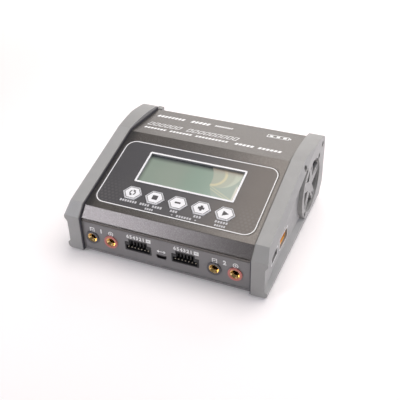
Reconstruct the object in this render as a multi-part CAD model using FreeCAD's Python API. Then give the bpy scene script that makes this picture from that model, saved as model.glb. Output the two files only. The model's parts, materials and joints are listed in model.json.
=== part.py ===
"""Two-channel balance battery charger, mains or DC fed.

The case is a formed aluminium cover on a steel tray, closed by a front plate, a rear plate
and two moulded end caps. Everything is drawn in the case frame: x across, y back from the
front faces of the end caps, z up from their undersides. save() moves each piece so that the
origin is on the ground under the middle of the charger.
"""
import FreeCAD, Part
import math
import os

V = FreeCAD.Vector

# ---------------------------------------------------------------- driving dimensions (mm)
WIDTH = 150.0             # over both end caps
DEPTH = 133.0             # end caps, front to rear
FOOT_HEIGHT = 1.5         # feet below the end caps
HALF = WIDTH / 2

CAP_INNER_X = 63.3        # inner edge of the end caps
CAP_STRIP_X = 73.0        # outer edge of the caps' top strip, above the side chamfer
CAP_WALL_X = 71.8         # recessed side wall of the caps
CAP_FRONT_WALL_X = 73.0   # the same wall where it meets the front face
CAP_CAVITY_X = 69.6       # inside of that wall
SHELL_END_X = 66.0        # how far the aluminium case reaches into the caps

SHEET = 1.6               # case sheet thickness
CASE_FRONT = 2.1          # front of the case behind the caps' front faces
CASE_REAR = 128.4
CASE_BASE = 0.8
SLOPE_START = (9.0, 34.6)     # y, z of the lower edge of the sloping display face
SLOPE_END = (82.0, 54.7)
BEVEL_START = 27.5            # height where the front bevel begins
TOP_REAR = 50.3               # height of the top at its rear edge
LIP_BASE = 25.0               # lower edge of the cover's front lip
LIP_GAP = 0.5                 # between the lip and the front panel
REAR_FLANGE_BASE = 43.0
SEAL_HEIGHT = 1.7             # seals along the caps, above the case
SEAL_WIDTH = 0.6

SLOPE = math.atan2(SLOPE_END[1] - SLOPE_START[1], SLOPE_END[0] - SLOPE_START[0])

FRONT_SHIFT = -1.5        # the row of front connectors sits a little left of centre
CONNECTOR_Z = 12.5
BANANA_X = (-53.5, -38.7, 38.7, 53.5)
BALANCE_X = (-17.7, 17.7)
BALANCE_PINS = 7
PIN_Z = 12.1
PIN_PITCH = 2.5

KEY_X = (-33.8, -16.5, 0.8, 18.1, 35.4)
KEY_V = 18.4              # up the slope
KEY_WIDTH = 14.6          # across corners
KEY_HEIGHT = 10.8         # across flats
KEY_GAP = 0.25
KEY_TRAVEL = 0.6
KEY_NAMES = ("channel", "stop", "minus", "plus", "start")

LCD_V = 44.0              # centre of the display, up the slope
LCD_SHIFT = -0.2
BEZEL = (75.2, 29.8)
BEZEL_LINE = 1.4
OVERLAY = (119.0, 62.0)
OVERLAY_V = 36.0
OVERLAY_RADIUS = 8.0
OVERLAY_THICK = 0.6

FAN_Y = 100.5
FAN_Z = 26.0
FAN_SIZE = 40.0
FAN_DEPTH = 10.0
FAN_HOLE = 16.0           # half the screw spacing
FAN_BORE = 19.0
BOSS_RADIUS = 25.0
GRILLE_RADIUS = 20.0
SPOKES = 5
SPOKE_WIDTH = 7.0
SPOKE_TURN = 161.0        # angle of the first spoke, from the rear towards the top
FAN_FACE_X = 71.4         # outer face of the fan, against the inside of the cap

CHANNELS = ((81.0, 52.0), (125.2, 47.6))   # y, z of the screw channels along the cover
PCB_BASE = 7.0
PCB_THICK = 1.6
PCB_TOP = PCB_BASE + PCB_THICK

PORT_X = 70.5             # mouths of the side ports, just inside the cap's wall
DC_Y, DC_Z = 43.0, 18.0
USB_Y, USB_Z = 22.5, 18.0
INLET_X, INLET_Z = -32.0, 23.0
NEAR = 0.05               # tolerance when picking edges


# ---------------------------------------------------------------- helpers
def box(x0, x1, y0, y1, z0, z1):
    return Part.makeBox(x1 - x0, y1 - y0, z1 - z0, V(x0, y0, z0))


def rod(centre, axis, radius, length):
    """Cylinder from centre along axis."""
    return Part.makeCylinder(radius, length, V(*centre), V(*axis))


def tube(centre, axis, outer, inner, length):
    return rod(centre, axis, outer, length).cut(rod(centre, axis, inner, length))


def prism(points, direction):
    """Closed outline of 3D points, extruded."""
    return Part.Face(Part.makePolygon([V(*p) for p in list(points) + [points[0]]])).extrude(V(*direction))


def prism_x(points, x0, x1):
    """(y, z) outline extruded from x0 to x1."""
    return prism([(x0, y, z) for y, z in points], (x1 - x0, 0, 0))


def prism_y(points, y0, y1):
    """(x, z) outline extruded from y0 to y1."""
    return prism([(x, y0, z) for x, z in points], (0, y1 - y0, 0))


def prism_z(points, z0, z1):
    """(x, y) outline extruded from z0 to z1."""
    return prism([(x, y, z0) for x, y in points], (0, 0, z1 - z0))


def grown(points, distance):
    """Clockwise outline with every side moved outwards by distance."""
    result = []
    for i, point in enumerate(points):
        before, after = points[i - 1], points[(i + 1) % len(points)]
        a = math.atan2(point[1] - before[1], point[0] - before[0]) + math.pi / 2
        b = math.atan2(after[1] - point[1], after[0] - point[0]) + math.pi / 2
        reach = distance / (1 + math.cos(a - b))
        result.append((point[0] + reach * (math.cos(a) + math.cos(b)),
                       point[1] + reach * (math.sin(a) + math.sin(b))))
    return result


def rounded(width, height, radius, z0, z1, centre=(0, 0)):
    """Plate with rounded corners, flat on the x-y plane."""
    plate = box(-width / 2, width / 2, -height / 2, height / 2, z0, z1)
    upright = [e for e in plate.Edges if abs(e.tangentAt(e.FirstParameter).z) > 0.9]
    plate = plate.makeFillet(radius, upright)
    plate.translate(V(centre[0], centre[1], 0))
    return plate


def joined(shapes):
    whole = shapes[0].multiFuse(list(shapes[1:])) if len(shapes) > 1 else shapes[0]
    return whole.removeSplitter()


def group(shapes):
    """Separate solids kept together, such as a set of screws."""
    return Part.makeCompound([s for shape in shapes for s in shape.Solids])


def mirrored(shape):
    """The same piece on the left side."""
    return shape.mirror(V(0, 0, 0), V(1, 0, 0))


def on_slope(shape):
    """Move a piece drawn flat (x across, y up the slope, z outwards) onto the display face."""
    placed = shape.copy()
    placed.rotate(V(0, 0, 0), V(1, 0, 0), math.degrees(SLOPE))
    placed.translate(V(0, *SLOPE_START))
    return placed


def wire_run(points, radius, bend):
    """Round lead along straight runs joined by tangent arcs."""
    nodes = [V(*p) for p in points]
    edges = []
    start = nodes[0]
    for before, corner, after in zip(nodes, nodes[1:], nodes[2:]):
        towards = (before - corner).normalize()
        away = (after - corner).normalize()
        half_turn = (math.pi - towards.getAngle(away)) / 2
        back = bend * math.tan(half_turn)
        enter = corner + towards * back
        leave = corner + away * back
        middle = corner + (towards + away).normalize() * (bend / math.cos(half_turn) - bend)
        edges.append(Part.LineSegment(start, enter).toShape())
        edges.append(Part.Arc(enter, middle, leave).toShape())
        start = leave
    edges.append(Part.LineSegment(start, nodes[-1]).toShape())
    path = Part.Wire(edges)
    profile = Part.Wire(Part.Circle(nodes[0], nodes[1] - nodes[0], radius).toShape())
    return path.makePipeShell([profile], True, False)


def save(name, shape):
    placed = shape.copy()
    placed.translate(V(0, -DEPTH / 2, FOOT_HEIGHT))
    placed.exportStep(f"parts/{name}.step")
    if not shape.isValid():
        print("invalid:", name)


# ---------------------------------------------------------------- outlines (y, z)
CASE_OUTLINE = [
    (CASE_FRONT, CASE_BASE), (CASE_FRONT, BEVEL_START), SLOPE_START, SLOPE_END,
    (CASE_REAR, TOP_REAR), (CASE_REAR, CASE_BASE)]
CASE_INSIDE = grown(CASE_OUTLINE, -SHEET)

CAP_RIDGE = (0.0, 27.5)       # the side ridge starts at the front corner
CAP_BEVEL_BASE = (0.0, 28.4)
CAP_BEVEL_TOP = (7.9, 36.5)
CAP_CREST = (81.8, 56.9)
CAP_ARCH_MIDDLE = (104.0, 57.0)
CAP_ARCH_END = (124.5, 54.2)
CAP_REAR_KNEE = (130.4, 51.3)
CAP_REAR_TOP = (DEPTH, 46.1)


def cap_block():
    """Solid form of the right end cap, before the side is shaped."""
    def at(point):
        return V(CAP_INNER_X, *point)

    corners = [(0, 0), CAP_BEVEL_BASE, CAP_BEVEL_TOP, CAP_CREST]
    edges = [Part.LineSegment(at(a), at(b)).toShape() for a, b in zip(corners, corners[1:])]
    edges.append(Part.Arc(at(CAP_CREST), at(CAP_ARCH_MIDDLE), at(CAP_ARCH_END)).toShape())
    edges.append(Part.Arc(at(CAP_ARCH_END), at(CAP_REAR_KNEE), at(CAP_REAR_TOP)).toShape())
    corners = [CAP_REAR_TOP, (DEPTH, 10.5), (DEPTH - 8.0, 0), (0, 0)]
    edges += [Part.LineSegment(at(a), at(b)).toShape() for a, b in zip(corners, corners[1:])]
    block = Part.Face(Part.Wire(edges)).extrude(V(HALF - CAP_INNER_X, 0, 0))
    under = [e for e in block.Edges
             if all(abs(v.X - HALF) < NEAR and abs(v.Z) < NEAR for v in e.Vertexes)]
    block = block.makeFillet(2.6, under)
    rim = [e for e in block.Edges if abs(e.BoundBox.XMax - CAP_INNER_X) < NEAR and e.BoundBox.ZMax > 1]
    creases = [e for e in block.Edges if e.BoundBox.XLength > 5
               and any(math.dist((v.Y, v.Z), p) < NEAR for v in e.Vertexes
                       for p in (CAP_BEVEL_BASE, CAP_BEVEL_TOP, CAP_CREST))]
    return block.makeFillet(0.5, rim + creases)


def cap_chamfer():
    """Wedge above the plane that runs up the side from the ridge to the top strip."""
    along = V(0, math.cos(SLOPE), math.sin(SLOPE))
    low = V(HALF, *CAP_RIDGE)
    high = V(CAP_STRIP_X, *CAP_BEVEL_TOP)
    up = (high - low) * 2.5
    start = low - along * 20 - up * 0.5
    plane = [start, start + along * 190, start + along * 190 + up, start + up]
    return prism([tuple(p) for p in plane], (12, 0, 4))


def side_recess():
    """Hollow in the cap's side, between the ridge and the base flare, open at the front."""
    rise = math.tan(SLOPE)
    rear = FAN_Y - 14.5

    outer_x = HALF + 0.4

    def outline(x, low_front, low_rear, top):
        return [(x, -1, low_front), (x, 24, low_rear), (x, rear, low_rear),
                (x, rear, top + rise * rear), (x, -1, top - rise)]

    wires = [Part.makePolygon([V(*p) for p in pts + pts[:1]])
             for pts in (outline(CAP_WALL_X, 5.5, 8.4, CAP_RIDGE[1] - 6.0),
                         outline(outer_x, 4.2, 4.2, CAP_RIDGE[1] - 0.6))]
    hollow = Part.makeLoft(wires, True, True)
    ramp = prism_z([(CAP_WALL_X - 0.1, -2), (CAP_FRONT_WALL_X, -2), (CAP_FRONT_WALL_X, 0),
                    (CAP_WALL_X - 0.1, 26)], -1, 60)
    boss = rod((CAP_WALL_X - 1, FAN_Y, FAN_Z), (1, 0, 0), BOSS_RADIUS, 10)
    return hollow.cut(joined([ramp, boss]))


def grille_openings():
    """Five openings between straight spokes, and a slot along the middle of each spoke."""
    x0, x1 = CAP_CAVITY_X - 1, HALF + 1
    centre, axis = V(0, FAN_Y, FAN_Z), V(1, 0, 0)
    spokes, slots = [], []
    for k in range(SPOKES):
        angle = SPOKE_TURN + 360 * k / SPOKES
        spoke = box(x0, x1, FAN_Y, FAN_Y + BOSS_RADIUS, FAN_Z - SPOKE_WIDTH / 2, FAN_Z + SPOKE_WIDTH / 2)
        slot = box(x0, x1, FAN_Y + 12.5, FAN_Y + 18.5, FAN_Z - 0.7, FAN_Z + 0.7)
        for shape, shapes in ((spoke, spokes), (slot, slots)):
            shape.rotate(centre, axis, angle)
            shapes.append(shape)
    openings = rod((x0, FAN_Y, FAN_Z), (1, 0, 0), GRILLE_RADIUS, x1 - x0).cut(joined(spokes))
    corners = [e for e in openings.Edges if e.BoundBox.XLength > x1 - x0 - NEAR]
    return [openings.makeFillet(0.7, corners)] + slots


def screw_holes(places, head_base):
    """Stepped holes along x for sunk screws."""
    holes = []
    for y, z in places:
        holes.append(rod((CAP_INNER_X - 1, y, z), (1, 0, 0), 1.6, 20))
        holes.append(rod((head_base, y, z), (1, 0, 0), 2.3, 20))
    return holes


FAN_HOLES = [(FAN_Y + sy * FAN_HOLE, FAN_Z + sz * FAN_HOLE) for sy in (-1, 1) for sz in (-1, 1)]
FAN_SCREWS = [FAN_HOLES[0], FAN_HOLES[3]]     # two screws at opposite corners hold the fan
CAP_HEAD_BASE = 68.6      # seats of the screw heads
FAN_HEAD_BASE = 73.0


def end_cap():
    """Right end cap: rim over the case end, hollow inside, round grille boss."""
    cap = cap_block().cut(cap_chamfer()).cut(side_recess())
    tools = [prism_x(CASE_OUTLINE, CAP_INNER_X - 1, SHELL_END_X + 0.1)]
    cavity = prism_x(grown(CASE_INSIDE, -0.6), SHELL_END_X, CAP_CAVITY_X)
    pillars = [rod((SHELL_END_X, y, z), (1, 0, 0), 4.2, 4) for y, z in CHANNELS]
    tools.append(cavity.cut(joined(pillars)))
    tools.append(box(SHELL_END_X, FAN_FACE_X, FAN_Y - 20.4, FAN_Y + 20.4, FAN_Z - 20.4, FAN_Z + 20.4))
    tools.append(rod((73.6, FAN_Y, FAN_Z), (1, 0, 0), 20.4, 5))
    tools += grille_openings()
    tools += screw_holes(CHANNELS, CAP_HEAD_BASE)
    tools += screw_holes(FAN_SCREWS, FAN_HEAD_BASE)
    return cap.cut(tools).removeSplitter()


# ---------------------------------------------------------------- case
def make_case():
    outer = prism_x(CASE_OUTLINE, -SHELL_END_X, SHELL_END_X)
    creases = [e for e in outer.Edges if e.BoundBox.XLength > 5 and e.BoundBox.ZMax > CASE_BASE + 1]
    outer = outer.makeFillet(0.8, creases)
    inner = prism_x(CASE_INSIDE, -SHELL_END_X - 1, SHELL_END_X + 1)
    sheet = outer.cut(inner)
    far = SHELL_END_X + 1

    # front lip, bevel, display slope, top and rear flange, with two screw channels inside
    cover = sheet.cut([box(-far, far, 0, DEPTH, -1, LIP_BASE),
                       box(-far, far, 100, DEPTH, -1, REAR_FLANGE_BASE)])
    for y, z in CHANNELS:
        reach = rod((-SHELL_END_X, y, z), (1, 0, 0), 2.8, 2 * SHELL_END_X)
        web = box(-SHELL_END_X, SHELL_END_X, y - 1, y + 1, z, z + 6)
        cover = cover.fuse([reach, web.common(outer)])
        cover = cover.cut(rod((-far, y, z), (1, 0, 0), 1.3, 2 * far))
    cover = cover.common(outer)
    cover = cover.cut(box(-far, far, 0, CASE_FRONT + 0.7, BEVEL_START - 0.7, BEVEL_START - 0.1))
    pocket = rounded(OVERLAY[0] + 0.3, OVERLAY[1] + 0.3, OVERLAY_RADIUS, -OVERLAY_THICK, 3, (0, OVERLAY_V))
    window = box(LCD_SHIFT - BEZEL[0] / 2 - 0.1, LCD_SHIFT + BEZEL[0] / 2 + 0.1,
                 LCD_V - BEZEL[1] / 2 - 0.1, LCD_V + BEZEL[1] / 2 + 0.1, -4, 3)
    cover = cover.cut([on_slope(t) for t in [pocket, window] + key_holes()])
    save("top_cover", cover.removeSplitter())

    # the tray: floor with two side flanges and vent slots
    floor = CASE_BASE + SHEET
    tray = joined([box(-SHELL_END_X, SHELL_END_X, CASE_FRONT, CASE_REAR, CASE_BASE, floor),
                   box(-61.6, -60.4, 8, 122, CASE_BASE, 5.5),
                   box(60.4, 61.6, 8, 122, CASE_BASE, 5.5)])
    slots = [box(x - 1, x + 1, 84, 108, 0, 4) for x in range(-28, 33, 6)]
    save("bottom_tray", tray.cut(slots))

    front = box(-SHELL_END_X, SHELL_END_X, CASE_FRONT + 0.3, CASE_FRONT + 1.9, floor, LIP_BASE - LIP_GAP)
    holes = [rod((x + FRONT_SHIFT, 0, CONNECTOR_Z), (0, 1, 0), 4.3, 8) for x in BANANA_X]
    holes += [balance_outline(x + FRONT_SHIFT, 0.1, 0, 8) for x in BALANCE_X]
    holes.append(usb_slot(3.95, 1.75, 0, 8))
    save("front_panel", front.cut(holes))

    rear = box(-SHELL_END_X, SHELL_END_X, CASE_REAR - SHEET, CASE_REAR, floor, REAR_FLANGE_BASE - 0.1)
    holes = [prism_y(inlet_outline(0.15), CASE_REAR - 4, CASE_REAR + 2)]
    holes += [rod((INLET_X + s * 20, CASE_REAR - 4, INLET_Z), (0, 1, 0), 1.6, 8) for s in (-1, 1)]
    holes += [box(x - 1.2, x + 1.2, CASE_REAR - 4, CASE_REAR + 2, 12, 34) for x in range(6, 52, 5)]
    save("rear_panel", rear.cut(holes))

    # soft seals that close the gap between the case and the cap rims
    ring = prism_x(grown(CASE_OUTLINE, SEAL_HEIGHT), CAP_INNER_X - SEAL_WIDTH, CAP_INNER_X)
    ring = ring.cut([prism_x(CASE_OUTLINE, 60, 65), box(60, 65, -5, DEPTH, -5, 0.1),
                     box(60, 65, CASE_REAR, DEPTH, -5, 60)])
    save("right_seal", ring)
    save("left_seal", mirrored(ring))


def make_caps():
    cap = end_cap()
    ports = [prism_x(dc_outline(0.2), CAP_CAVITY_X - 1, HALF),
             box(CAP_CAVITY_X - 1, HALF, USB_Y - 6.2, USB_Y + 6.2, USB_Z - 2.6, USB_Z + 2.6)]
    save("right_end_cap", cap.cut(ports))
    # the left cap also hooks round the rear corner of the case
    hook = box(-CAP_INNER_X - 1, -59.6, CASE_REAR + 0.1, DEPTH, 6, 50.6)
    save("left_end_cap", mirrored(cap).fuse(hook).removeSplitter())


# ---------------------------------------------------------------- display face
def hexagon(grow, z0, z1, x):
    """Slightly flattened hexagon with its points left and right."""
    w, h = KEY_WIDTH / 2 + grow, KEY_HEIGHT / 2 + grow
    points = [(w, 0), (w / 2, h), (-w / 2, h), (-w, 0), (-w / 2, -h), (w / 2, -h)]
    return prism_z([(x + px, KEY_V + py) for px, py in points], z0, z1)


def key_holes():
    return [hexagon(KEY_GAP, -4, 3, x) for x in KEY_X]


def make_display():
    sheet = rounded(OVERLAY[0], OVERLAY[1], OVERLAY_RADIUS, -OVERLAY_THICK, 0, (0, OVERLAY_V))
    window = box(LCD_SHIFT - BEZEL[0] / 2 - 0.1, LCD_SHIFT + BEZEL[0] / 2 + 0.1,
                 LCD_V - BEZEL[1] / 2 - 0.1, LCD_V + BEZEL[1] / 2 + 0.1, -4, 3)
    save("display_overlay", on_slope(sheet.cut([window] + key_holes())))

    centre = (LCD_SHIFT, LCD_V)
    frame = rounded(BEZEL[0], BEZEL[1], 1.0, -SHEET, 0.3, centre)
    opening = rounded(BEZEL[0] - 2 * BEZEL_LINE, BEZEL[1] - 2 * BEZEL_LINE, 0.6, -3, 2, centre)
    save("lcd_bezel", on_slope(frame.cut(opening)))
    save("lcd_glass", on_slope(rounded(80, 35.4, 0.5, -4.4, -SHEET - 0.02, centre)))
    save("lcd_backlight", on_slope(rounded(78, 34.0, 0.5, -6.0, -4.42, centre)))

    for name, x in zip(KEY_NAMES, KEY_X):
        cap = hexagon(0, -1.8, 0.5, x)
        flange = hexagon(0.8, -2.3, -1.75, x)
        stem = rod((x, KEY_V, -2.55), (0, 0, 1), 1.8, 0.5)
        save(f"{name}_key", on_slope(joined([cap, flange, stem])))

    board = rounded(116, 61, 2.0, -7.6, -6.02, (0, 34.5))
    posts = [(x, v) for x in (-54, 54) for v in (9, 60)]
    board = board.cut([rod((x, v, -9), (0, 0, 1), 1.6, 5) for x, v in posts])
    save("display_pcb", on_slope(board))
    # posts hang from the inside of the cover and take the board's screws
    pillars = [tube((x, v, -6.0), (0, 0, 1), 2.6, 1.1, 6.0 - SHEET) for x, v in posts]
    save("display_standoffs", on_slope(group(pillars)))
    heads = [joined([rod((x, v, -7.6 - 1.4), (0, 0, 1), 2.5, 1.4), rod((x, v, -8), (0, 0, 1), 1.05, 5)])
             for x, v in posts]
    save("display_screws", on_slope(group(heads)))

    switches = [joined([box(x - 3, x + 3, KEY_V - 3, KEY_V + 3, -6.0, -3.6),
                        rod((x, KEY_V, -3.7), (0, 0, 1), 1.7, 0.45)]) for x in KEY_X]
    save("key_switches", on_slope(group(switches)))


# ---------------------------------------------------------------- front connectors
def balance_outline(x, grow, y0, y1):
    """Balance port: wide lower part and narrower raised middle."""
    w, m = 10.0 + grow, 7.0 + grow
    low, shoulder, top = 9.3 - grow, 16.3 + grow, 18.8 + grow
    return prism_y([(x - w, low), (x - w, shoulder), (x - m, shoulder), (x - m, top),
                    (x + m, top), (x + m, shoulder), (x + w, shoulder), (x + w, low)], y0, y1)


def balance_pin(x):
    """Square pin that runs back through the housing and turns down into the control board."""
    half, back = 0.32, CASE_FRONT + 14.0
    return joined([box(x - half, x + half, CASE_FRONT + 0.7, back, PIN_Z - half, PIN_Z + half),
                   box(x - half, x + half, back - 2 * half, back, PCB_BASE - 1, PIN_Z + half)])


def usb_slot(half_width, half_height, y0, y1):
    """Micro socket outline: flat top, tapered lower corners."""
    z = 10.4
    w, h = half_width, half_height
    half = [(w, h), (w, -h * 0.2), (w * 0.75, -h)]
    points = half + [(-px, pz) for px, pz in reversed(half)]
    return prism_y([(px + FRONT_SHIFT, z + pz) for px, pz in points], y0, y1)


def make_front_connectors():
    places = [x + FRONT_SHIFT for x in BANANA_X]
    face = CASE_FRONT + 0.3
    bushes, barrels = [], []
    for x in places:
        bush = joined([rod((x, face - 0.9, CONNECTOR_Z), (0, 1, 0), 5.1, 0.9),
                       rod((x, face - 0.9, CONNECTOR_Z), (0, 1, 0), 4.25, 5.2)])
        bush = bush.cut(rod((x, face - 2, CONNECTOR_Z), (0, 1, 0), 3.65, 14))
        bushes.append(bush)
        barrel = rod((x, face - 0.6, CONNECTOR_Z), (0, 1, 0), 3.6, 17.0)
        flare = Part.makeCone(3.25, 2.0, 1.8, V(x, face - 0.6, CONNECTOR_Z), V(0, 1, 0))
        bore = rod((x, face - 1, CONNECTOR_Z), (0, 1, 0), 2.0, 15.0)
        tail = box(x - 1.2, x + 1.2, face + 13, face + 15.5, PCB_BASE - 1.2, CONNECTOR_Z)
        barrels.append(joined([barrel, tail]).cut([flare, bore]))
    save("negative_bushes", group([bushes[0], bushes[2]]))
    save("positive_bushes", group([bushes[1], bushes[3]]))
    save("banana_sockets", group(barrels))

    all_pins = []
    for letter, centre in zip("ab", BALANCE_X):
        x = centre + FRONT_SHIFT
        shell = balance_outline(x, 0, CASE_FRONT + 0.1, CASE_FRONT + 11.0)
        front, floor = CASE_FRONT - 1, CASE_FRONT + 8.0
        cavities = [box(x - 9.0, x + 9.0, front, floor, 10.2, 13.9),
                    box(x - 6.4, x + 6.4, front, CASE_FRONT + 1.3, 13.8, 18.2)]
        columns = [x + k * PIN_PITCH for k in range(-(BALANCE_PINS // 2), BALANCE_PINS // 2 + 1)]
        cavities += [box(c - 0.8, c + 0.8, front, floor, 13.8, 18.2) for c in columns[1:-1]]
        foot = box(x - 9, x + 9, CASE_FRONT + 4, CASE_FRONT + 11.0, PCB_TOP, 9.6)
        pins = [balance_pin(c) for c in columns]
        save(f"balance_{letter}_housing", joined([shell, foot]).cut(cavities + pins))
        all_pins += pins
    save("balance_pins", group(all_pins))

    shell = usb_slot(3.85, 1.65, CASE_FRONT + 0.4, CASE_FRONT + 6.0)
    opening = usb_slot(3.5, 1.3, CASE_FRONT - 1, CASE_FRONT + 5.4)
    tongue = box(FRONT_SHIFT - 2.2, FRONT_SHIFT + 2.2, CASE_FRONT + 1.0, CASE_FRONT + 5.5, 10.5, 11.0)
    tab = box(FRONT_SHIFT - 3, FRONT_SHIFT + 3, CASE_FRONT + 3.5, CASE_FRONT + 6, PCB_TOP, 9.0)
    save("micro_usb_port", joined([shell.cut(opening), tongue, tab]))


# ---------------------------------------------------------------- side sockets and inlet
def dc_outline(grow):
    """DC input housing: one long side square, the other with cut corners."""
    return grown([(DC_Y - 8, DC_Z - 4), (DC_Y - 8, DC_Z + 4), (DC_Y + 6, DC_Z + 4),
                  (DC_Y + 8, DC_Z + 2), (DC_Y + 8, DC_Z - 2), (DC_Y + 6, DC_Z - 4)], grow)


def make_side_ports():
    board_x = PORT_X - 15.0
    # DC input: two round contacts in a shared mouth
    contacts = [tube((PORT_X - 8.5, DC_Y + s * 3.6, DC_Z), (1, 0, 0), 2.0, 1.2, 7.5) for s in (-1, 1)]
    body = prism_x(dc_outline(0), board_x, PORT_X).cut(prism_x(dc_outline(-1.0), PORT_X - 8.0, PORT_X + 1))
    seats = [rod((PORT_X - 8.5, DC_Y + s * 3.6, DC_Z), (1, 0, 0), 2.0, 1) for s in (-1, 1)]
    save("dc_input_housing", body.cut(seats))
    save("dc_input_contacts", group(contacts))

    mouth = CAP_CAVITY_X - 0.1
    shell = box(board_x, mouth, USB_Y - 6.55, USB_Y + 6.55, USB_Z - 2.85, USB_Z + 2.85)
    hollow = box(board_x + 0.4, PORT_X, USB_Y - 6.2, USB_Y + 6.2, USB_Z - 2.5, USB_Z + 2.5)
    save("usb_power_shell", shell.cut(hollow))
    root = box(board_x + 0.4, board_x + 3.5, USB_Y - 6.2, USB_Y + 6.2, USB_Z - 2.5, USB_Z + 2.5)
    tongue = box(board_x + 0.4, mouth - 1.4, USB_Y - 5.6, USB_Y + 5.6, USB_Z + 0.1, USB_Z + 1.9)
    save("usb_power_tongue", joined([root, tongue]))

    # upright board that carries both side ports and stands on the control board
    save("input_pcb", box(board_x - PCB_THICK, board_x, 19.5, 54, PCB_TOP, 26))


def inlet_outline(grow):
    """Mains inlet body: rectangle with two cut corners."""
    w, h, c = 13.5 + grow, 9.8 + grow, 4.0
    points = [(-w, -h), (-w, h - c), (-w + c, h), (w - c, h), (w, h - c), (w, -h)]
    return [(INLET_X + x, INLET_Z + z) for x, z in points]


def make_inlet():
    y = CASE_REAR
    body = prism_y(inlet_outline(0), y - 14, y + 2.4)
    flange = joined([box(INLET_X - 17, INLET_X + 17, y, y + 2.4, INLET_Z - 12, INLET_Z + 12),
                     rod((INLET_X - 20, y, INLET_Z), (0, 1, 0), 5.0, 2.4),
                     rod((INLET_X + 20, y, INLET_Z), (0, 1, 0), 5.0, 2.4),
                     box(INLET_X - 20, INLET_X + 20, y, y + 2.4, INLET_Z - 5, INLET_Z + 5)])
    w, h, c = 12.0, 8.0, 3.4
    points = [(-w, -h), (-w, h - c), (-w + c, h), (w - c, h), (w, h - c), (w, -h)]
    mouth = prism_y([(INLET_X + px, INLET_Z + pz) for px, pz in points], y - 11.5, y + 3)
    screws = [(INLET_X + s * 20, INLET_Z) for s in (-1, 1)]
    blades = [(0, 2.6)] + [(s * 7.0, -1.6) for s in (-1, 1)]
    pins = [box(INLET_X + px - 1, INLET_X + px + 1, y - 17, y - 1.5, INLET_Z + pz - 2, INLET_Z + pz + 2)
            for px, pz in blades]
    holes = [rod((x, y - 2, z), (0, 1, 0), 1.6, 6) for x, z in screws]
    save("mains_inlet_body", joined([body, flange]).cut([mouth] + holes + pins))
    save("mains_inlet_pins", group(pins))
    bolts = [joined([rod((x, y - 6, z), (0, 1, 0), 1.5, 8.5), rod((x, y + 2.4, z), (0, 1, 0), 2.7, 1.6)])
             for x, z in screws]
    save("inlet_screws", group(bolts))
    # leads bend down from the blades to the power board
    leads = [wire_run([(INLET_X + px, y - 17, INLET_Z + pz), (INLET_X + px, 103, INLET_Z + pz),
                       (INLET_X + px, 103, PCB_TOP)], 0.9, 4.0) for px, pz in blades]
    save("mains_leads", group(leads))


# ---------------------------------------------------------------- fan
def fan_blade(index, count):
    """Curved and twisted blade, from the hub to the tip."""
    sections = []
    for radius, pitch in ((7.6, 52), (13.0, 42), (18.0, 34)):
        half = 3.4 + 0.16 * (radius - 7.6)
        a = math.radians(pitch)
        along = V(math.sin(a), math.cos(a), 0)
        across = V(math.cos(a), -math.sin(a), 0) * 0.55
        centre = V(0, 0, radius)
        corners = [centre - along * half - across * 0.6, centre + across * 1.6,
                   centre + along * half - across * 0.6, centre + across * 0.2]
        sections.append(Part.makePolygon(corners + corners[:1]))
    blade = Part.makeLoft(sections, True, False)
    blade.rotate(V(0, 0, 0), V(1, 0, 0), 360.0 * index / count)
    return blade


def make_fan():
    x1 = FAN_FACE_X
    x0 = x1 - FAN_DEPTH
    half = FAN_SIZE / 2
    frame = box(x0, x1, FAN_Y - half, FAN_Y + half, FAN_Z - half, FAN_Z + half)
    along = [e for e in frame.Edges if abs(e.tangentAt(e.FirstParameter).x) > 0.9]
    frame = frame.makeFillet(3.0, along).cut(rod((x0 - 1, FAN_Y, FAN_Z), (1, 0, 0), FAN_BORE, 12))
    frame = frame.cut([rod((x0 - 1, y, z), (1, 0, 0), 1.5, 12) for y, z in FAN_HOLES])
    waist = box(x0 + 2.4, x1 - 2.4, FAN_Y - half - 1, FAN_Y + half + 1, FAN_Z - half - 1, FAN_Z + half + 1)
    frame = frame.cut(waist.cut(rod((x0, FAN_Y, FAN_Z), (1, 0, 0), FAN_BORE + 1.0, 12)))
    seat = rod((x0, FAN_Y, FAN_Z), (1, 0, 0), 7.6, 1.3)
    struts = [box(x0, x0 + 1.3, FAN_Y, FAN_Y + FAN_BORE + 0.4, FAN_Z - 1, FAN_Z + 1) for _ in range(4)]
    for k, strut in enumerate(struts):
        strut.rotate(V(x0, FAN_Y, FAN_Z), V(1, 0, 0), 45 + 90 * k)
    save("fan_frame", joined([frame, seat] + struts))
    save("fan_bearing", tube((x0 + 1.3, FAN_Y, FAN_Z), (1, 0, 0), 2.0, 1.04, 6.2))
    save("fan_stator", tube((x0 + 1.3, FAN_Y, FAN_Z), (1, 0, 0), 5.6, 2.05, 4.9))

    hub = rod((x0 + 1.8, FAN_Y, FAN_Z), (1, 0, 0), 7.8, 7.4)
    hub = hub.cut(rod((x0 + 1.0, FAN_Y, FAN_Z), (1, 0, 0), 6.3, 7.0))
    shaft = rod((x0 + 1.6, FAN_Y, FAN_Z), (1, 0, 0), 1.0, 7.0)
    blades = [fan_blade(k, 7) for k in range(7)]
    for blade in blades:
        blade.translate(V(x0 + 5.4, FAN_Y, FAN_Z))
    save("fan_rotor", joined([hub, shaft] + blades))
    lead = [(x0, FAN_Y - 18.5, FAN_Z - 12), (x0 - 6.4, FAN_Y - 18.5, FAN_Z - 12),
            (x0 - 12.4, FAN_Y - 24.5, FAN_Z - 13.5), (x0 - 12.4, FAN_Y - 24.5, PCB_TOP)]
    save("fan_lead", wire_run(lead, 1.1, 2.4))


# ---------------------------------------------------------------- boards and what they carry
def toroid(centre, outer, inner, height):
    """Wound ring lying flat."""
    ring = tube(centre, (0, 0, 1), outer, inner, height)
    round_edges = [e for e in ring.Edges if isinstance(e.Curve, Part.Circle)]
    return ring.makeFillet((outer - inner) * 0.2, round_edges)


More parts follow.
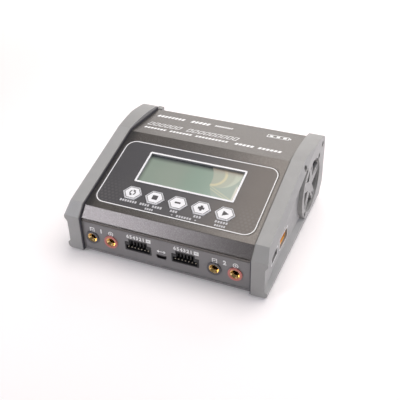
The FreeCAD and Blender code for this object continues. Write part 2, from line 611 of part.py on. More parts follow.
def can(x, y, radius, height):
    """Standing electrolytic capacitor."""
    body = rod((x, y, PCB_TOP), (0, 0, 1), radius, height)
    rims = [e for e in body.Edges if isinstance(e.Curve, Part.Circle)]
    return body.makeFillet(0.5, rims)


def make_boards():
    control = box(-59.5, 59.5, 7.5, 58, PCB_BASE, PCB_TOP)
    power = box(-59.5, 52, 62, 124, PCB_BASE, PCB_TOP)
    posts = [(x, y) for x in (-50, 0, 50) for y in (26, 54)] + [(x, y) for x in (-55, 46) for y in (66, 120)]
    holes = [rod((x, y, PCB_BASE - 1), (0, 0, 1), 1.6, 4) for x, y in posts]
    front_tails = [box(x + FRONT_SHIFT - 1.3, x + FRONT_SHIFT + 1.3, CASE_FRONT + 13.2, CASE_FRONT + 15.9,
                       PCB_BASE - 1, PCB_TOP + 1) for x in BANANA_X]
    pin_slots = [box(x + FRONT_SHIFT - 8.2, x + FRONT_SHIFT + 8.2, CASE_FRONT + 13.2, CASE_FRONT + 14.1,
                     PCB_BASE - 1, PCB_TOP + 1) for x in BALANCE_X]
    save("control_pcb", control.cut(holes + front_tails + pin_slots))
    save("power_pcb", power.cut(holes))
    base = CASE_BASE + SHEET
    pillars = [tube((x, y, base), (0, 0, 1), 2.6, 1.1, PCB_BASE - base) for x, y in posts]
    save("board_standoffs", group(pillars))
    screws = [joined([rod((x, y, PCB_TOP), (0, 0, 1), 2.5, 1.4), rod((x, y, 3.4), (0, 0, 1), 1.05, 6)])
              for x, y in posts]
    save("board_screws", group(screws))

    chips = [box(-8, 4, 30, 42, PCB_TOP, 10.2), box(-34, -28, 20, 25, PCB_TOP, 10.2),
             box(14, 20, 20, 25, PCB_TOP, 10.2)]
    save("control_chips", group(chips))
    cans = [can(x, y, 4.0, 11.5) for x in (-50, 16) for y in (34, 44)]
    cans += [can(x, 52, 4.0, 12.5) for x in (-24, -14, 24, 34)]
    save("output_capacitors", group(cans))

    # power supply: line filter, storage capacitors, transformer, heatsinks, fuse
    core = joined([box(-20, 8, 78, 82.5, PCB_TOP + 1.5, 33), box(-20, 8, 98.5, 103, PCB_TOP + 1.5, 33),
                   box(-20, -14, 78, 103, PCB_TOP + 1.5, 33), box(2, 8, 78, 103, PCB_TOP + 1.5, 33)])
    save("transformer_core", core)
    bobbin = joined([box(-13.9, 1.9, 82.6, 98.4, PCB_TOP + 4, 30.5), box(-13.9, 1.9, 84, 97, PCB_TOP, 33)])
    save("transformer_winding", bobbin)
    save("storage_capacitors", group([can(-46, 72, 7.5, 26), can(-44, 88.2, 8.0, 30)]))
    rings = [toroid((x, 38, PCB_TOP), 9.0, 3.6, 7.0) for x in (-34, 32)]
    rings += [toroid((-49.5, 105.5, PCB_TOP), 8.0, 3.6, 9.0), toroid((36, 92, PCB_TOP), 10.0, 4.4, 9.0)]
    save("wound_inductors", group(rings))
    sinks, packs = [], []
    for x, y in ((-28, 68.0), (-12, 108.0)):
        plate = box(x, x + 48, y, y + 2.4, PCB_TOP, 34)
        fins = [box(x, x + 48, y + 2.3, y + 7, z, z + 1.4) for z in (14, 19, 24, 29)]
        sinks.append(joined([plate] + fins))
        packs += [box(x + dx, x + dx + 10, y - 4.5, y, PCB_TOP, 27) for dx in (6, 30)]
    save("heatsinks", group(sinks))
    save("power_transistors", group(packs))
    clips = [box(x, x + 1.4, 119, 123, PCB_TOP, 11) for x in (-12, 2.6)]
    save("fuse", joined([rod((-13, 121, PCB_TOP + 3.0), (1, 0, 0), 2.6, 18)] + clips))

    # flat cable from the display board down to the control board
    socket_top = PCB_TOP + 3.0
    path = [(36.0, 34.0), (36.0, 33.4), (40.0, 33.2), (45.2, 26.0), (45.2, socket_top),
            (45.8, socket_top), (45.8, 26.2), (40.4, 33.8), (37.0, 34.1)]
    save("display_ribbon", prism_x(path, -11, 9))
    save("ribbon_socket", box(-12, 10, 43.5, 47.5, PCB_TOP, socket_top))


def make_feet_and_screws():
    feet = [rod((x, y, -FOOT_HEIGHT), (0, 0, 1), 4.5, FOOT_HEIGHT + CASE_BASE)
            for x in (-54, 54) for y in (9, 119)]
    feet = [f.makeChamfer(0.4, [e for e in f.Edges if e.BoundBox.ZMax < -FOOT_HEIGHT + NEAR]) for f in feet]
    save("rubber_feet", group(feet))

    side, fan = [], []
    for y, z in CHANNELS:
        screw = joined([rod((CAP_HEAD_BASE - 9, y, z), (1, 0, 0), 1.25, 9.5),
                        rod((CAP_HEAD_BASE, y, z), (1, 0, 0), 2.25, 1.6)])
        side += [screw, mirrored(screw)]
    save("cap_screws", group(side))
    for y, z in FAN_SCREWS:
        fan.append(joined([rod((FAN_FACE_X - 9, y, z), (1, 0, 0), 1.48, 9 + FAN_HEAD_BASE - FAN_FACE_X),
                           rod((FAN_HEAD_BASE, y, z), (1, 0, 0), 2.25, 1.2)]))
    save("fan_screws", group(fan))


os.makedirs("parts", exist_ok=True)
make_case()
make_caps()
make_display()
make_front_connectors()
make_side_ports()
make_inlet()
make_fan()
make_boards()
make_feet_and_screws()
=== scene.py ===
"""Looks of a two-channel balance charger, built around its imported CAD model.

Lengths are in millimetres where a name or a comment doesn't say otherwise, and MM turns them
into Blender's metres. Marks are thin slabs laid on faces that are found on the CAD pieces.
"""
import json
import math

import bpy
from mathutils import Matrix, Vector


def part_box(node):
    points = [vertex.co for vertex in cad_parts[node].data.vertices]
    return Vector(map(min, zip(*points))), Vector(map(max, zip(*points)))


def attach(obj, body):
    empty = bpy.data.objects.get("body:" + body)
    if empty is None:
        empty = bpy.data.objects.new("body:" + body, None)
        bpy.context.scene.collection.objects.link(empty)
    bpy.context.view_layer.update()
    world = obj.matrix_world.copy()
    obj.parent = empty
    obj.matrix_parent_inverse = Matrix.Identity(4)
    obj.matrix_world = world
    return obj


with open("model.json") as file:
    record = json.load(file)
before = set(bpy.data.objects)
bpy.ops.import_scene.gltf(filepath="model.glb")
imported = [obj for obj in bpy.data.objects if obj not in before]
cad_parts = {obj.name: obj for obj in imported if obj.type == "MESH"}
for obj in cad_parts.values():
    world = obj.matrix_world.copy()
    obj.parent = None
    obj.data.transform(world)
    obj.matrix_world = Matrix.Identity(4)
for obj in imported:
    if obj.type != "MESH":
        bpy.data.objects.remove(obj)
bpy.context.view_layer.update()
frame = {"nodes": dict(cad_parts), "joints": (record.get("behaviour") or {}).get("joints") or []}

MM = 0.001
ACROSS = (1, 0, 0)
PRINT_THICK = 0.03 * MM
SEARCH = 20 * MM              # how far off a face the ray that finds it starts
nodes = frame["nodes"]
slope_normal = -Vector(next(j["axis"] for j in frame["joints"] if j["name"] == "start_key_press"))
slope_up = slope_normal.cross(Vector(ACROSS))


def slope_reach(node):
    """Lowest and highest millimetre of a CAD piece, measured up the display slope."""
    reach = [slope_up.dot(v.co) / MM for v in nodes[node].data.vertices]
    return min(reach), max(reach)


def middle_of(node):
    """Middle of a CAD piece's box, in metres."""
    low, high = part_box(node)
    return (Vector(low) + Vector(high)) / 2


# ---------------------------------------------------------------- material toolkit
def rgba(hex_colour):
    """Linear colour of an sRGB hex value such as 8a8a86."""
    parts = [int(hex_colour[i:i + 2], 16) / 255 for i in (0, 2, 4)]
    return tuple(p / 12.92 if p < 0.04045 else ((p + 0.055) / 1.055) ** 2.4 for p in parts) + (1.0,)


class Finish:
    """A Principled material with short ways to add nodes. Texture sizes are in millimetres."""

    def __init__(self, name, colour, roughness, metallic=0.0, **sockets):
        self.name = name
        self.material = bpy.data.materials.new(name)
        self.material.use_nodes = True
        self.tree = self.material.node_tree
        self.shader = self.tree.nodes["Principled BSDF"]
        self.colour = rgba(colour)
        self.shader.inputs["Base Color"].default_value = self.colour
        self.shader.inputs["Roughness"].default_value = roughness
        self.shader.inputs["Metallic"].default_value = metallic
        for key, value in sockets.items():
            self.shader.inputs[key.replace("_", " ")].default_value = value
        self.normal = None    # output of the last bevel or bump

    def add(self, kind, **inputs):
        """New node. An input is a number, a vector or another node's socket; _0 is the first."""
        node = self.tree.nodes.new("ShaderNode" + kind)
        for key, value in inputs.items():
            name = int(key[1:]) if key[0] == "_" else key.replace("_", " ")
            if isinstance(value, bpy.types.NodeSocket):
                self.tree.links.new(value, node.inputs[name])
            else:
                node.inputs[name].default_value = value
        return node

    def place(self):
        return self.add("TexCoord").outputs["Object"]

    def face_normal(self):
        return self.add("NewGeometry").outputs["Normal"]

    def math(self, operation, a, b=0.0):
        node = self.add("Math", _0=a, _1=b)
        node.operation = operation
        return node.outputs[0]

    def times(self, a, b):
        return self.math("MULTIPLY", a, b)

    def vector(self, operation, a, b=(0, 0, 0)):
        node = self.add("VectorMath", _0=a, _1=b)
        node.operation = operation
        return node.outputs["Value" if operation in ("DOT_PRODUCT", "LENGTH") else "Vector"]

    def noise(self, size, detail=2.0, stretch=(1, 1, 1)):
        place = self.vector("MULTIPLY", self.place(), stretch)
        node = self.add("TexNoise", Vector=place, Scale=1 / (size * MM), Detail=detail)
        return node.outputs["Fac"]

    def cells(self, size):
        """A random number for each small cell."""
        node = self.add("TexVoronoi", Vector=self.place(), Scale=1 / (size * MM))
        return self.add("SeparateColor", Color=node.outputs["Color"]).outputs["Red"]

    def span(self, value, low, high, to_low=0.0, to_high=1.0):
        """value from low..high to to_low..to_high, held at the ends."""
        node = self.add("MapRange", Value=value, _1=low, _2=high, _3=to_low, _4=to_high)
        node.interpolation_type = "SMOOTHSTEP"
        return node.outputs[0]

    def along(self, axis):
        """Distance from the frame's origin along axis, in millimetres."""
        return self.math("DIVIDE", self.vector("DOT_PRODUCT", self.place(), tuple(axis)), MM)

    def line(self, value, middle, outer, inner, amount=1.0):
        """amount where value is within inner of middle, fading to nothing at outer."""
        off = self.math("ABSOLUTE", self.math("SUBTRACT", value, middle))
        return self.span(off, outer, inner, 0.0, amount)

    def tint(self, factor, colour):
        """Mixes another colour into the base colour."""
        node = self.add("Mix")
        node.data_type = "RGBA"
        socket = self.shader.inputs["Base Color"]
        if socket.is_linked:
            self.tree.links.new(socket.links[0].from_socket, node.inputs[6])
        else:
            node.inputs[6].default_value = self.colour
        node.inputs[7].default_value = rgba(colour)
        self.tree.links.new(factor, node.inputs[0])
        self.tree.links.new(node.outputs[2], socket)
        return self

    def rough(self, value):
        self.tree.links.new(value, self.shader.inputs["Roughness"])

    def bend_normal(self, socket):
        self.normal = socket
        self.tree.links.new(socket, self.shader.inputs["Normal"])

    def relief(self, value, depth):
        """Bump from value, depth millimetres high, on top of earlier ones."""
        node = self.add("Bump", Height=value, Strength=1.0, Distance=depth * MM)
        if self.normal is not None:
            self.tree.links.new(self.normal, node.inputs["Normal"])
        self.bend_normal(node.outputs[0])
        return self

    def edges(self, radius, colour, amount):
        """Rounds hard edges in the shading and paints them a lighter colour: a painted highlight
        along the edges.
        """
        bevel = self.add("Bevel", Radius=radius * MM)
        bevel.samples = 6
        turn = self.vector("DOT_PRODUCT", bevel.outputs[0], self.face_normal())
        self.tint(self.span(turn, 0.98, 0.75, 0.0, amount), colour)
        self.bend_normal(bevel.outputs[0])

    def slope_facing(self):
        """1 on faces that look the same way as the display slope."""
        return self.vector("DOT_PRODUCT", self.face_normal(), tuple(slope_normal))

    def up_facing(self):
        """1 on faces that look straight up."""
        return self.add("SeparateXYZ", Vector=self.face_normal()).outputs["Z"]


# ---------------------------------------------------------------- kinds of material
def moulded(name, colour, lighter, roughness, grain, depth):
    """Moulded plastic with a spark-eroded grain, slight mottling and softened edges that carry a
    painted highlight.
    """
    finish = Finish(name, colour, roughness)
    finish.edges(0.35, lighter, 0.55)
    finish.tint(finish.span(finish.noise(9.0), 0.35, 0.75, 0.0, 0.10), lighter)
    finish.rough(finish.span(finish.noise(2.5), 0.3, 0.7, roughness - 0.05, roughness + 0.06))
    return finish.relief(finish.noise(grain, 3.0), depth)


def metal(name, colour, roughness, brushed=(1, 1, 1), size=0.25):
    """Bare metal with fine scratches along one direction and duller patches."""
    finish = Finish(name, colour, roughness, metallic=1.0)
    patches = finish.noise(1.6, 3.0)
    finish.rough(finish.span(patches, 0.3, 0.75, roughness * 0.75, roughness * 1.3))
    return finish.relief(finish.noise(size, 3.0, brushed), 0.004)


def board(name, colour, track):
    """Circuit board lacquer over copper tracks."""
    finish = Finish(name, colour, 0.32, Coat_Weight=0.3, Coat_Roughness=0.15)
    brick = finish.add("TexBrick", Vector=finish.place(), Scale=1 / (14 * MM), Mortar_Size=0.025)
    finish.tint(finish.span(brick.outputs["Fac"], 0.0, 1.0, 0.0, 0.8), track)
    finish.tint(finish.span(finish.cells(2.2), 0.86, 0.9, 0.0, 0.7), "b9a16b")
    return finish.relief(brick.outputs["Fac"], 0.03)


def winding(name, colour, dark):
    """Enamelled copper wire or tape wound in level turns, with painted shade in the grooves between
    the turns.
    """
    finish = Finish(name, colour, 0.3, metallic=0.7)
    turns = finish.add("TexWave", Vector=finish.place(), Scale=1 / (4.2 * MM), Distortion=0.6)
    turns.bands_direction = "Z"
    finish.tint(finish.span(turns.outputs["Fac"], 0.45, 0.0, 0.0, 0.8), dark)
    return finish.relief(turns.outputs["Fac"], 0.15)


def sleeve(name, colour, mark_colour):
    """Glossy insulating skin of a capacitor or a wire, with paler patches."""
    finish = Finish(name, colour, 0.3, Coat_Weight=0.4, Coat_Roughness=0.1)
    finish.tint(finish.span(finish.noise(5.0), 0.62, 0.66, 0.0, 0.5), mark_colour)
    return finish.relief(finish.noise(1.2), 0.01)


# ---------------------------------------------------------------- single materials
def cap_plastic():
    """Grey moulded end caps, with painted shade that makes their level top a little darker."""
    finish = moulded("cap_plastic", "a4a4a3", "c8c8c6", 0.45, 0.35, 0.012)
    return finish.tint(finish.span(finish.up_facing(), 0.96, 0.99, 0.0, 0.55), "8f8e8d")


def case_paint():
    """Dark metallic paint on the aluminium case: fine flakes under a satin coat."""
    finish = Finish("case_paint", "605c59", 0.33, metallic=0.8,
                    Coat_Weight=0.12, Coat_Roughness=0.3)
    # the edges are painted lighter: a painted highlight
    finish.edges(0.5, "9b9996", 0.5)
    flakes = finish.cells(0.22)
    finish.tint(finish.span(flakes, 0.55, 1.0, 0.0, 0.28), "aeacaa")
    finish.tint(finish.span(flakes, 0.4, 0.0, 0.0, 0.28), "3f3d3c")
    # painted shade: the slope is darker near the left end cap and, less, around the middle
    on_slope = finish.span(finish.slope_facing(), 0.95, 0.99)
    across = finish.along(ACROSS)
    left_end = finish.span(across, -52.0, -61.0, 0.0, 0.65)
    middle = finish.span(finish.math("ABSOLUTE", across), 50.0, 15.0, 0.0, 0.22)
    for shade in (left_end, middle):
        finish.tint(finish.times(on_slope, shade), "37373b")
    finish.rough(finish.span(finish.noise(0.9), 0.3, 0.7, 0.31, 0.35))
    return finish.relief(flakes, 0.004)


def overlay_film():
    """Dark printed polycarbonate with a fading pattern of round dots in its lower corners."""
    finish = Finish("overlay_film", "4a494c", 0.33, Coat_Weight=0.25, Coat_Roughness=0.2)
    across = finish.along(ACROSS)
    up = finish.math("SUBTRACT", finish.along(slope_up), slope_reach("display_overlay")[0])
    flat = finish.add("CombineXYZ", X=across, Y=up).outputs[0]
    # the dots' hexagonal grid is two rectangular grids that are half a cell apart
    pitch = 3.0
    cell = (pitch, pitch * math.sqrt(3), 1.0)
    grid = finish.vector("DIVIDE", flat, cell)
    distances = []
    for shift in (0.0, 0.5):
        part = finish.vector("FRACTION", finish.vector("ADD", grid, (shift, shift, 0)))
        offset = finish.vector("MULTIPLY", finish.vector("SUBTRACT", part, (0.5, 0.5, 0)), cell)
        distances.append(finish.vector("LENGTH", offset))
    dot = finish.span(finish.math("MINIMUM", *distances), 1.15, 0.75, 0.0, 0.32)
    to_the_sides = finish.span(finish.math("ABSOLUTE", across), 30.0, 57.0)
    to_the_foot = finish.span(up, 32.0, 8.0)
    # painted reflection: lighter and warmer towards the right
    finish.tint(finish.span(across, 0.0, 55.0, 0.0, 0.7), "62574d")
    finish.tint(finish.times(dot, finish.times(to_the_sides, to_the_foot)), "75716e")
    finish.tint(finish.span(finish.noise(14.0), 0.4, 0.7, 0.0, 0.08), "6a6662")
    finish.rough(finish.span(finish.noise(3.0), 0.3, 0.7, 0.30, 0.37))
    return finish.relief(finish.noise(0.18, 3.0), 0.004)


def lcd_face():
    """Grey-green liquid crystal panel with painted reflections, highlights and shade over its right
    end.
    """
    finish = Finish("lcd_face", "8f9d90", 0.2, Coat_Weight=0.3, Coat_Roughness=0.1)
    # from the frame's top left corner
    across = finish.math("SUBTRACT", finish.along(ACROSS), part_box("lcd_bezel")[0][0] / MM)
    down = finish.math("SUBTRACT", slope_reach("lcd_bezel")[1], finish.along(slope_up))
    flat = finish.add("CombineXYZ", X=across, Y=down).outputs[0]

    def reach(x, y):
        """Distance in millimetres from a point of the face."""
        return finish.vector("LENGTH", finish.vector("SUBTRACT", flat, (x, y, 0)))

    # mottling, a greener right half, and the shade of the frame's top and left bars
    finish.tint(finish.span(finish.noise(26.0, 0.0), 0.3, 0.7, 0.0, 0.3), "9fa69a")
    finish.tint(finish.span(across, 25.0, 43.0, 0.0, 0.4), "85a392")
    finish.tint(finish.span(down, 6.4, 2.0, 0.0, 0.9), "45494b")
    finish.tint(finish.span(across, 4.5, 1.4, 0.0, 0.30), "4a534c")
    # painted reflection: lighter beyond an arc and right of a slanting line
    right_of_line = finish.math("SUBTRACT", across, finish.times(down, 0.51))
    film = finish.times(finish.span(reach(30.0, 14.5), 22.9, 23.4),
                        finish.span(right_of_line, 43.6, 44.2))
    finish.tint(finish.times(film, 0.5), "a8b0a5")
    # two straight painted highlights across the painted reflection
    slant = finish.math("ADD", finish.times(down, 0.899), finish.times(across, -0.438))
    for place in (-7.2, -5.4):
        finish.tint(finish.times(finish.line(slant, place, 0.65, 0.2, 0.6), film), "c6c3a4")
    # painted reflection in the right top corner: a lighter rim, a painted highlight along a ridge
    # and painted shade above them
    corner_glare = finish.times(film, finish.span(reach(58.0, 4.0), 14.9, 14.1))
    finish.tint(corner_glare, "a9ae9d")
    finish.tint(finish.times(corner_glare, finish.span(reach(55.0, 7.0), 12.0, 14.0)), "b8c0ae")
    finish.tint(finish.times(corner_glare, finish.line(reach(52.5, 8.2), 9.1, 1.6, 0.4)), "c9c4a2")
    finish.tint(finish.times(corner_glare, finish.span(down, 6.5, 1.8, 0.0, 0.75)), "a19487")
    # painted highlight along the lower right edge
    lower_right = finish.times(finish.span(across, 71.0, 72.5), finish.span(down, 12.0, 17.0))
    finish.tint(lower_right, "dddace")
    return finish.relief(finish.noise(0.12, 2.0), 0.001)


def bezel_white():
    """White display frame with shaded walls around its window."""
    finish = moulded("bezel_white", "f9f9fb", "ffffff", 0.3, 0.5, 0.004)
    return finish.tint(finish.span(finish.slope_facing(), 0.8, 0.3, 0.0, 0.75), "606366")


def rubber():
    """Matt black rubber, paler grey on the faces that look up."""
    finish = moulded("rubber", "4e4d54", "68676e", 0.75, 0.5, 0.02)
    return finish.tint(finish.span(finish.up_facing(), 0.35, 0.7), "6a6865")


def ferrite():
    """Sintered core with pale grains."""
    finish = Finish("ferrite", "3b3a3b", 0.62)
    finish.tint(finish.span(finish.cells(0.4), 0.7, 1.0, 0.0, 0.5), "6d6b6a")
    return finish.relief(finish.noise(0.5, 3.0), 0.03)


def fuse_glass():
    """Pale glass of the fuse, with cloudy patches."""
    finish = Finish("fuse_glass", "d5d6d2", 0.12, IOR=1.5)
    finish.tint(finish.span(finish.noise(3.0), 0.4, 0.7, 0.0, 0.3), "f4f4f0")
    return finish.relief(finish.noise(0.8), 0.004)


FINISHES = {finish.name: finish for finish in (
    cap_plastic(),
    case_paint(),
    moulded("panel_paint", "858384", "9f9d9f", 0.40, 0.3, 0.010),
    overlay_film(),
    lcd_face(),
    moulded("white_plastic", "f4f4f6", "ffffff", 0.34, 0.5, 0.004),
    bezel_white(),
    moulded("black_plastic", "242325", "4a494b", 0.4, 0.3, 0.008),
    moulded("port_plastic", "262628", "454447", 0.4, 0.3, 0.006),
    moulded("red_plastic", "cf7a74", "e0a29b", 0.38, 0.3, 0.006),
    moulded("grey_plastic", "5c5a5e", "77757a", 0.42, 0.3, 0.006),
    moulded("amber_plastic", "ffb440", "ffd08a", 0.34, 0.3, 0.006),
    rubber(),
    metal("gold", "fbd897", 0.22, (1, 6, 6), 0.5),
    metal("pin_plating", "ccc5b6", 0.36),
    metal("steel", "bdbcba", 0.28, (8, 1, 8)),
    metal("black_steel", "3a393a", 0.42, (8, 1, 8)),
    metal("dull_steel", "5f5e60", 0.42, (8, 1, 8)),
    metal("aluminium", "c6c7c8", 0.34, (1, 14, 1), 0.3),
    board("control_board", "1d4a31", "2f6b48"),
    board("power_board", "24432c", "3d6244"),
    moulded("chip_epoxy", "222224", "3a3a3c", 0.5, 0.2, 0.006),
    winding("copper_turns", "b5662c", "5a2c12"),
    winding("tape_winding", "c9a13a", "8e6d1d"),
    ferrite(),
    sleeve("dark_sleeve", "22262d", "8e9296"),
    sleeve("wire_cover", "9c2320", "c4504a"),
    sleeve("ribbon_cover", "8f9196", "c0c2c6"),
    fuse_glass(),
)}

PAINTED = {
    "cap_plastic": ("left_end_cap", "right_end_cap"),
    "case_paint": ("top_cover",),
    "panel_paint": ("bottom_tray", "front_panel", "rear_panel"),
    "rubber": ("left_seal", "right_seal", "rubber_feet"),
    "overlay_film": ("display_overlay",),
    "bezel_white": ("lcd_bezel",),
    "lcd_face": ("lcd_glass",),
    "white_plastic": ("lcd_backlight", "ribbon_socket", "usb_power_tongue", "channel_key",
                      "stop_key", "minus_key", "plus_key", "start_key"),
    "ribbon_cover": ("display_ribbon",),
    "gold": ("banana_sockets", "dc_input_contacts"),
    "pin_plating": ("balance_pins",),
    "grey_plastic": ("negative_bushes",),
    "red_plastic": ("positive_bushes",),
    "port_plastic": ("balance_a_housing", "balance_b_housing", "mains_inlet_body"),
    "amber_plastic": ("dc_input_housing",),
    "dull_steel": ("micro_usb_port",),
    "steel": ("usb_power_shell", "mains_inlet_pins", "board_screws", "display_screws",
              "board_standoffs", "display_standoffs", "fan_bearing"),
    "black_steel": ("inlet_screws", "cap_screws", "fan_screws"),
    "wire_cover": ("mains_leads", "fan_lead"),
    "black_plastic": ("key_switches", "fan_frame", "fan_rotor"),
    "control_board": ("control_pcb", "display_pcb", "input_pcb"),
    "power_board": ("power_pcb",),
    "chip_epoxy": ("control_chips", "power_transistors"),
    "aluminium": ("heatsinks",),
    "ferrite": ("transformer_core",),
    "tape_winding": ("transformer_winding",),
    "copper_turns": ("wound_inductors", "fan_stator"),
    "dark_sleeve": ("storage_capacitors", "output_capacitors"),
    "fuse_glass": ("fuse",),
}


def paint_nodes():
    for finish, names in PAINTED.items():
        for name in names:
            for slot in nodes[name].material_slots:
                slot.material = FINISHES[finish].material


WHITE_INK = moulded("white_ink", "fafafa", "ffffff", 0.45, 0.4, 0.002)
PALE_INK = moulded("pale_ink", "cdcdd0", "e6e6e6", 0.5, 0.4, 0.002)
# grey ring on each key's border: painted shade standing in for the key's sloped rim
KEY_RIM_SHADE = moulded("key_rim_shade", "d3d4d8", "e4e4e6", 0.5, 0.4, 0.002)
DARK_INK = moulded("dark_ink", "4a484a", "6a686a", 0.5, 0.4, 0.002)


# ---------------------------------------------------------------- outlines
def moved(points, x, y):
    return [(px + x, py + y) for px, py in points]


def rectangle(width, height, x=0.0, y=0.0, slant=0.0):
    """Upright rectangle; its top leans slant to the right and its foot slant to the left."""
    w, h = width / 2, height / 2
    return [(x - w - slant, y - h), (x + w - slant, y - h),
            (x + w + slant, y + h), (x - w + slant, y + h)]


def hollow_rectangle(width, height, line, x=0.0, y=0.0):
    """(outline, hole) of a rectangular line."""
    return rectangle(width, height, x, y), rectangle(width - 2 * line, height - 2 * line, x, y)


def round_rectangle(width, height, radius, x=0.0, y=0.0, steps=10):
    points = []
    for quarter, (sx, sy) in enumerate(((1, 1), (-1, 1), (-1, -1), (1, -1))):
        for i in range(steps + 1):
            angle = math.radians(90) * (quarter + i / steps)
            points.append((x + sx * (width / 2 - radius) + radius * math.cos(angle),
                           y + sy * (height / 2 - radius) + radius * math.sin(angle)))
    return points


def divided(points, parts):
    """The same outline with every edge cut into equal parts."""
    result = []
    for (x0, y0), (x1, y1) in zip(points, points[1:] + points[:1]):
        result += [(x0 + (x1 - x0) * i / parts, y0 + (y1 - y0) * i / parts) for i in range(parts)]
    return result


def arc(radius, angles):
    return [(radius * math.cos(a), radius * math.sin(a)) for a in angles]


def circle(radius, x, y):
    steps = 32
    return moved(arc(radius, [2 * math.pi * i / steps for i in range(steps)]), x, y)


def hexagon(width, height):
    """Key outline: points left and right, flat top and bottom."""
    w, h = width / 2, height / 2
    return [(w, 0), (w / 2, h), (-w / 2, h), (-w, 0), (-w / 2, -h), (w / 2, -h)]


def cross(size, line):
    """Plus sign: a full bar and two short ones."""
    rest = (size - line) / 2
    away = (size + line) / 4
    return [rectangle(size, line), rectangle(line, rest, 0, away), rectangle(line, rest, 0, -away)]


def pointer(x, y, length, half, way):
    """Triangle with its flat side at x and its tip further along way: 1 right, -1 left."""
    return [(x, y - half), (x + length * way, y), (x, y + half)][::way]


def arc_arrow(radius, line, start, sweep):
    """Open arc with an arrow head at its end, as a closed outline."""
    steps = 12
    head_length, head_half = 2.2 * line, 1.3 * line
    angles = [math.radians(start + sweep * i / steps) for i in range(steps + 1)]
    end = angles[-1]
    tip = (radius * math.cos(end) - head_length * math.sin(end),
           radius * math.sin(end) + head_length * math.cos(end))
    head = arc(radius + head_half, [end]) + [tip] + arc(radius - head_half, [end])
    return arc(radius + line / 2, angles) + head + arc(radius - line / 2, angles[::-1])


def legend(words, x, y, height, pitch, centred=False, slant=0.0, hollow=0.0):
    """Row of plain blocks that stand in for words: one block for each letter."""
    block = pitch * 0.72
    length = (sum(words) + len(words) - 1) * pitch
    start = x - length / 2 if centred else x
    shapes = []
    for count in words:
        for i in range(count):
            middle = start + pitch * (i + 0.5)
            cell = rectangle(block, height, middle, y, slant)
            if hollow:
                cell = (cell, rectangle(block - 2 * hollow, height - 2 * hollow,
                                        middle, y, slant * 0.8))
            shapes.append(cell)
        start += (count + 1) * pitch
    return shapes


# ---------------------------------------------------------------- printed marks
class Face:
    """A flat face to print on: marks are drawn right and up from its origin, in millimetres."""

    def __init__(self, node, start, towards, right=ACROSS):
        """Finds the face of a CAD piece met by a ray from start (in metres) along towards."""
        self.node = nodes[node]
        found, self.origin, self.normal, _ = self.node.ray_cast(Vector(start), Vector(towards))
        assert found, node
        self.right = Vector(right)
        self.right = (self.right - self.normal * self.right.dot(self.normal)).normalized()
        self.up = self.normal.cross(self.right)

    def point(self, x, y, lift=0.0):
        """Place in metres of a point of the face, lift metres off it."""
        return self.origin + (self.right * x + self.up * y) * MM + self.normal * lift


class BentFace(Face):
    """A face with a slight bend: every point is put on the piece itself."""

    def point(self, x, y, lift=0.0):
        well_above = super().point(x, y, 5 * MM)
        found, place, normal, _ = self.node.ray_cast(well_above, -self.normal)
        assert found, self.node.name
        return place + normal * lift


def slab(face, outline, hole=None):
    """Vertices and faces of a thin slab; a hole has as many points as the outline."""
    loops = [outline, hole] if hole else [outline]
    vertices = [face.point(x, y, lift)
                for lift in (0.0, PRINT_THICK) for loop in loops for x, y in loop]
    count = len(outline)
    top = count * len(loops)
    ring = [(i, (i + 1) % count) for i in range(count)]
    if hole:
        faces = [(a, b, b + count, a + count)[::-1] for a, b in ring]
        faces += [(top + a, top + b, top + b + count, top + a + count) for a, b in ring]
        faces += [(a + count, b + count, top + b + count, top + a + count)[::-1] for a, b in ring]
    else:
        faces = [tuple(range(count))[::-1], tuple(range(top, top + count))]
    return vertices, faces + [(a, b, top + b, top + a) for a, b in ring]


def piece(name, mesh, finish, body):
    obj = bpy.data.objects.new(name, mesh)
    bpy.context.scene.collection.objects.link(obj)
    mesh.materials.append(finish.material)
    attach(obj, body)


def mark(name, face, shapes, finish, body="case"):
    """One printed piece made of shapes, each a list of points or an (outline, hole) pair."""
    vertices, faces = [], []
    for shape in shapes:
        loops = shape if isinstance(shape, tuple) else (shape,)
        new_vertices, new_faces = slab(face, *loops)
        faces += [tuple(i + len(vertices) for i in f) for f in new_faces]
        vertices += new_vertices
    mesh = bpy.data.meshes.new(name)
    mesh.from_pydata(vertices, [], faces)
    piece(name, mesh, finish, body)


def numeral(name, text, face, x, y, height):
    """Plain bold numeral as a thin mesh, centred at x, y."""
    curve = bpy.data.curves.new(name, "FONT")
    curve.body = text
    curve.align_x, curve.align_y = "CENTER", "CENTER"
    curve.size = height * 1.38 * MM         # a digit is 1/1.38 of the font's size high
    curve.extrude = PRINT_THICK
    curve.resolution_u = 3
    curve.offset = 0.05 * curve.size        # makes the strokes bolder
    holder = bpy.data.objects.new(name + "_curve", curve)
    bpy.context.scene.collection.objects.link(holder)
    bpy.context.view_layer.update()
    graph = bpy.context.evaluated_depsgraph_get()
    mesh = bpy.data.meshes.new_from_object(holder.evaluated_get(graph))
    bpy.data.objects.remove(holder)
    turn = Matrix((face.right, face.up, face.normal)).transposed().to_4x4()
    mesh.transform(Matrix.Translation(face.point(x, y)) @ turn)
    piece(name, mesh, WHITE_INK, "case")


# ---------------------------------------------------------------- display marks
KEY_SIZE = (14.6, 10.8)       # width and height of a key's hexagonal top
# outer and inner outline of each line on a key, as parts of the key's size
BORDER_RING = (0.985, 0.90)
LINE_RING = (0.87, 0.80)
KEY_SYMBOLS = {
    "channel": [arc_arrow(1.9, 0.8, 120, 112), arc_arrow(1.9, 0.8, 300, 112)],
    "stop": [round_rectangle(4.0, 3.8, 0.3, steps=3)],
    "minus": [rectangle(4.2, 1.4)],
    "plus": cross(4.5, 1.8),
    "start": [[(-1.7, -2.2), (2.7, 0.0), (-1.7, 2.2)]],
}
# letters in each word of the legends below a key: first row, second row
KEY_LEGENDS = {"channel": ((7,), ()), "stop": ((4, 4), (4,)), "minus": ((3,), ()),
               "plus": ((3,), ()), "start": ((5,), (5,))}
# height above the overlay's lower edge, and letter height, which is also the pitch
LEGEND_ROWS = ((6.2, 1.9), (3.1, 1.6))


